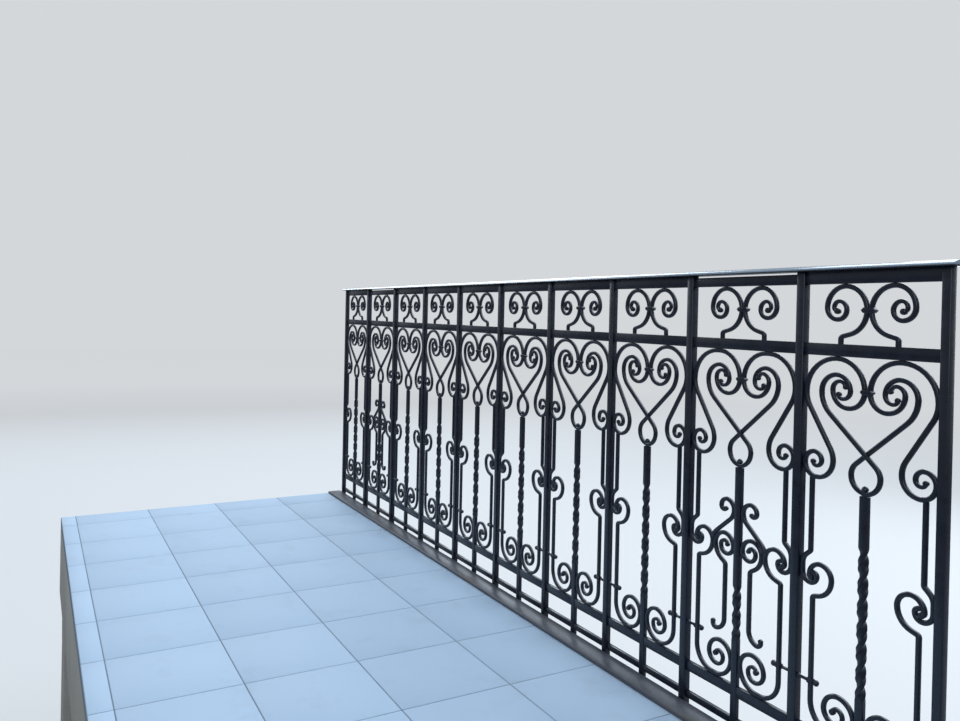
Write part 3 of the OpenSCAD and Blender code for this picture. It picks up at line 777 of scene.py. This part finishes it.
def rails():
    """The flat rails, cut into lengths between the uprights, with a slot above the top rail over the corbels.
    The centre bars end under the hearts, so they cut only the lower rails."""
    posts = [(x, post_side(i) / 2 * MM) for i, x in enumerate(post_x)]
    centres = [(middle_x(i), CENTRE_W / 2 * MM) for i in range(PANELS)]
    over_corbels = [middle_x(i) for i in CORBEL_PANELS]
    for name in UPPER_RAILS + LOWER_RAILS:
        lo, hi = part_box(name)
        bm = bmesh.new()
        stops = sorted(posts + centres if name in LOWER_RAILS else posts)
        for (x, half), (next_x, next_half) in zip(stops, stops[1:]):
            slotted = name == "top_rail" and any(x < over < next_x for over in over_corbels)
            top = hi.z - HANDRAIL_GAP * MM if slotted else hi.z
            box(bm, (x + half, lo.y, lo.z), (next_x - next_half, hi.y, top), RAIL_ROUNDING * MM, 2)
        finish_piece(f"{name}_lengths", bm, IRON, [name])


HANDRAIL_EDGE = 4          # height of its upright edges
HANDRAIL_ROUNDING = 3.3
HANDRAIL_FOOT_ROUNDING = 0.6


def handrail():
    """The handrail, flat below and arched above, drawn as its section and pushed along the railing"""
    bm = bmesh.new()
    half = (handrail_hi.y - handrail_lo.y) / 2
    edge_z = handrail_lo.z + HANDRAIL_EDGE * MM
    rise = handrail_hi.z - edge_z
    crown_r = (half ** 2 + rise ** 2) / (2 * rise)
    side = bm.verts.new((handrail_lo.x, rail_y + half, edge_z))
    arc = bmesh.ops.spin(bm, geom=[side], cent=(handrail_lo.x, rail_y, handrail_hi.z - crown_r), axis=(1, 0, 0),
                         angle=2 * asin(half / crown_r), steps=12)
    corners = [bm.verts.new((handrail_lo.x, rail_y + y, handrail_lo.z)) for y in (half, -half)]
    far_side = next(g for g in arc["geom_last"] if isinstance(g, bmesh.types.BMVert))
    for pair in ((side, corners[0]), corners, (corners[1], far_side)):
        bm.edges.new(pair)
    bmesh.ops.contextual_create(bm, geom=bm.edges[:])
    pushed = bmesh.ops.extrude_face_region(bm, geom=bm.faces[:])["geom"]
    bmesh.ops.translate(bm, vec=(handrail_hi.x - handrail_lo.x, 0, 0),
                        verts=[g for g in pushed if isinstance(g, bmesh.types.BMVert)])
    bmesh.ops.recalc_face_normals(bm, faces=bm.faces[:])
    for z, rounding in ((edge_z, HANDRAIL_ROUNDING), (handrail_lo.z, HANDRAIL_FOOT_ROUNDING)):
        sharp = [edge for edge in bm.edges if edge.calc_face_angle(0) > radians(50)
                 and all(abs(v.co.z - z) < 0.1 * MM for v in edge.verts)]
        bmesh.ops.bevel(bm, geom=sharp, offset=rounding * MM, affect="EDGES", segments=4, profile=0.5,
                        material=-1)
    # its material carries a painted sky reflection on the top
    finish_piece("handrail_bar", bm, SKY_PAINTED_IRON, ["handrail"])


# Fascia ornament
RING_R = 34
BOSS = spun_profile([(0, -6), (6, -5.4), (9, -3), (9, 3), (6, 5.4), (0, 6)], 14)
fascia_h = (strip_lo.z - bead_hi.z) / MM


def fascia_cell(bm, x, width):
    """An arch on two legs round a ring, with a short bar and a boss on the ring"""
    arch = width / 2 - BAR / 2
    spring = fascia_h - BAR / 2 - arch
    cell = bmesh.new()
    bent_bar(cell, arch, 0, 90, [(0, spring), (arch, 90)])
    bent_bar(cell, 0, BAR / 2, 0, [(RING_R, 90), (RING_R, 90)])
    bent_bar(cell, 0, BAR / 2 + 2 * RING_R, 90, [(0, (fascia_h - BAR - 2 * RING_R) / 2)])
    half = to_mesh("fascia_half", cell)
    for mirrored in (True, False):
        add_copy(bm, half, in_rail(x, bead_hi.z, mirrored))
    add_copy(bm, BOSS, in_rail(x, bead_hi.z + (fascia_h + 2 * RING_R) / 2 * MM))


def fascia():
    """Two arches in each panel, one at each side of its centre bar"""
    bm = bmesh.new()
    for i in range(PANELS):
        low = post_x[i] + post_side(i) / 2 * MM
        high = post_x[i + 1] - post_side(i + 1) / 2 * MM
        left = middle_x(i) - CENTRE_W / 2 * MM
        right = middle_x(i) + CENTRE_W / 2 * MM
        for a, b in ((low, left), (right, high)):
            fascia_cell(bm, (a + b) / 2, (b - a) / MM)
    finish_piece("fascia_arches", bm, IRON, ["fascia_scrolls"])


# Deck, with its tiles in metres and its roundings in millimetres
TILE_SIDE = 0.300
JOINT = 0.003
TILE_FIRST_X = -0.067      # a joint across the deck, and one along it
TILE_FIRST_Y = -0.058
SLIVER = 0.01              # no tile is cut narrower
TILE_T = 0.009
GROUT_DROP = 0.0015        # from the tiles' faces down to the grout
TILE_TONES = 11
TILE_ROUNDING = 1.2
KERB_ROUNDING = 3.5
BEAM_ROUNDING = 1.5
SLAB_ROUNDING = 4


def cuts(first, low, high):
    """Joints at first plus whole tiles, with the two ends of the floor"""
    k = ceil((low - first) / TILE_SIDE)
    inner = []
    while first + k * TILE_SIDE < high:
        inner.append(first + k * TILE_SIDE)
        k += 1
    return [low] + [cut for cut in inner if cut - low > SLIVER and high - cut > SLIVER] + [high]


def tiled_floor():
    """Single tiles, each of its own tone, over a bed of grout"""
    bm = bmesh.new()
    tone = bm.verts.layers.float.new("tile_tone")
    xs = cuts(TILE_FIRST_X, tile_lo.x, tile_hi.x)
    ys = cuts(TILE_FIRST_Y, tile_lo.y, tile_hi.y)
    for i, (x0, x1) in enumerate(zip(xs, xs[1:])):
        for j, (y0, y1) in enumerate(zip(ys, ys[1:])):
            corners = box(bm, (x0 + JOINT / 2, y0 + JOINT / 2, tile_hi.z - TILE_T),
                          (x1 - JOINT / 2, y1 - JOINT / 2, tile_hi.z), TILE_ROUNDING * MM, 2)
            shade = (i * 7 + j * 5 + i * j * 3) % TILE_TONES / (TILE_TONES - 1)
            for vert in corners:
                vert[tone] = shade
    finish_piece("floor_tiles", bm, TILE, ["tile_bed"], smooth_below=25)
    bm = bmesh.new()
    box(bm, tile_lo, (tile_hi.x, tile_hi.y, tile_hi.z - GROUT_DROP))
    finish_piece("grout_bed", bm, GROUT)


def kerb():
    bm = bmesh.new()
    box(bm, kerb_lo, kerb_hi, KERB_ROUNDING * MM, 3)
    finish_piece("kerb_stones", bm, KERB, ["stone_kerb"])


def beam():
    """The edge beam: a web up the slab's edge, and a flange under the slab"""
    bm = bmesh.new()
    web_t = slab_lo.y - beam_lo.y
    box(bm, beam_lo, (beam_hi.x, beam_lo.y + web_t, beam_hi.z), BEAM_ROUNDING * MM, 2)
    box(bm, beam_lo, (beam_hi.x, beam_hi.y, beam_lo.z + web_t), BEAM_ROUNDING * MM, 2)
    finish_piece("beam_plates", bm, BEAM, ["edge_beam"])


def plastered_slab():
    bm = bmesh.new()
    box(bm, slab_lo, slab_hi, SLAB_ROUNDING * MM, 2)
    finish_piece("slab_plaster", bm, STUCCO, ["deck_slab"])


heart_panels()
frieze()
plain_posts()
heavy_posts()
centre_bars()
rails()
handrail()
fascia()
tiled_floor()
kerb()
beam()
plastered_slab()
for corbel in ("corbel_left", "corbel_right"):
    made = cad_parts[corbel]
    made.data.materials.clear()
    made.data.materials.append(STUCCO)


# Studio, in metres
SKY_BLUE = (0.82, 0.91, 1.0)
EVEN_LIGHT = 0.34
BACKDROP = (0.66, 0.68, 0.70)
FLOOR_HALF = 40
FLOOR_BELOW = 0.12         # under the corbels' feet
FADE_FROM = 9.0            # between these distances the floor turns into the backdrop's tone
FADE_WHOLE = 20.0
NEAR_GLOW = (0.42, 0.44, 0.46)
FAR_GLOW = (0.557, 0.568, 0.577)


def pale_world():
    """A pale backdrop for the camera over a dimmer even light"""
    world = bpy.data.worlds.new("studio")
    world.use_nodes = True
    tree = world.node_tree
    light = tree.nodes["Background"]
    light.inputs["Color"].default_value = (*SKY_BLUE, 1)
    light.inputs["Strength"].default_value = EVEN_LIGHT
    backdrop = tree.nodes.new("ShaderNodeBackground")
    backdrop.inputs["Color"].default_value = (*BACKDROP, 1)
    seen = tree.nodes.new("ShaderNodeLightPath")
    both = tree.nodes.new("ShaderNodeMixShader")
    tree.links.new(seen.outputs["Is Camera Ray"], both.inputs["Fac"])
    tree.links.new(light.outputs["Background"], both.inputs[1])
    tree.links.new(backdrop.outputs["Background"], both.inputs[2])
    tree.links.new(both.outputs["Shader"], tree.nodes["World Output"].inputs["Surface"])
    scene.world = world


def pale_floor():
    """The floor's material: it takes the object's shadow, and fades into the backdrop far away"""
    pale = material("studio_floor", (0.80, 0.81, 0.82), 0.9)
    seen = add_node(pale, "ShaderNodeLightPath")
    paint(pale, mix(pale, seen.outputs["Is Camera Ray"], (0.24, 0.25, 0.27), (0.27, 0.28, 0.29)))
    where = add_node(pale, "ShaderNodeTexCoord")
    away = add_node(pale, "ShaderNodeVectorMath", operation="LENGTH")
    far = add_node(pale, "ShaderNodeMapRange", {"From Min": FADE_FROM, "From Max": FADE_WHOLE})
    shader = pale.node_tree.nodes["Principled BSDF"]
    link(pale, where.outputs["Object"], away.inputs[0])
    link(pale, away.outputs["Value"], far.inputs["Value"])
    link(pale, mix(pale, far.outputs["Result"], NEAR_GLOW, FAR_GLOW), shader.inputs["Emission Color"])
    link(pale, seen.outputs["Is Camera Ray"], shader.inputs["Emission Strength"])
    return pale


def lamp(name, where, at, size, power):
    """A soft lamp of that size in metres, turned towards a point"""
    data = bpy.data.lights.new(name, "AREA")
    data.shape = "RECTANGLE"
    data.size, data.size_y = size
    data.energy = power
    data.color = SKY_BLUE
    obj = bpy.data.objects.new(name, data)
    obj.location = where
    obj.rotation_euler = (Vector(at) - Vector(where)).to_track_quat("-Z", "Y").to_euler()
    obj.visible_camera = False
    scene.collection.objects.link(obj)


def studio():
    """The floor, the backdrop and four soft lamps"""
    bm = bmesh.new()
    floor_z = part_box("corbel_left")[0].z - FLOOR_BELOW
    bmesh.ops.create_grid(bm, x_segments=1, y_segments=1, size=FLOOR_HALF,
                          matrix=Matrix.Translation((0, 0, floor_z)))
    mesh = to_mesh("studio_floor", bm)
    mesh.materials.append(pale_floor())
    ground = bpy.data.objects.new("studio_floor", mesh)
    scene.collection.objects.link(ground)
    pale_world()
    lamp("sky_strip", (-0.6, -6.0, 7.6), (-0.3, -1.2, 0.5), (12.0, 6.0), 680)
    lamp("far_sky", (10.6, -2.2, 6.2), (0.0, -1.3, 0.8), (15.0, 5.0), 800)
    lamp("front_fill", (0.0, -8.0, 3.0), (0.0, -1.3, 0.2), (6.0, 5.0), 240)
    lamp("near_fill", (-5.0, 4.0, 4.0), (0.0, -0.6, 0.0), (4.0, 4.0), 130)


# Camera, worked out from the photograph's tile joints, rails and posts, in pixels, metres and degrees
PHOTO_W, PHOTO_H = 960, 721
FOCAL_PX = 806.3
AXIS_Y_PX = 318.4          # from the picture's top down to the lens's axis
SENSOR = 36.0              # width in millimetres
PAST_END = 0.849           # from the first post back along the railing
BEHIND_RAIL = 1.422
EYE_OVER_KERB = 0.938
YAW = 29.0                 # between the railing and the view
PITCH = -0.39
ROLL = 1.23


def camera():
    data = bpy.data.cameras.new("camera")
    data.sensor_width = SENSOR
    data.lens = FOCAL_PX * SENSOR / PHOTO_W
    data.shift_y = (AXIS_Y_PX - PHOTO_H / 2) / PHOTO_W
    data.clip_start = 0.02
    data.clip_end = 200
    obj = bpy.data.objects.new("camera", data)
    obj.location = (post_x[0] - PAST_END, rail_y + BEHIND_RAIL, kerb_hi.z + EYE_OVER_KERB)
    turn = (Matrix.Rotation(radians(-90 - YAW), 4, "Z") @ Matrix.Rotation(radians(90 + PITCH), 4, "X")
            @ Matrix.Rotation(radians(ROLL), 4, "Z"))
    obj.rotation_euler = turn.to_euler()
    scene.collection.objects.link(obj)
    scene.camera = obj


studio()
camera()
scene.view_settings.view_transform = "Standard"
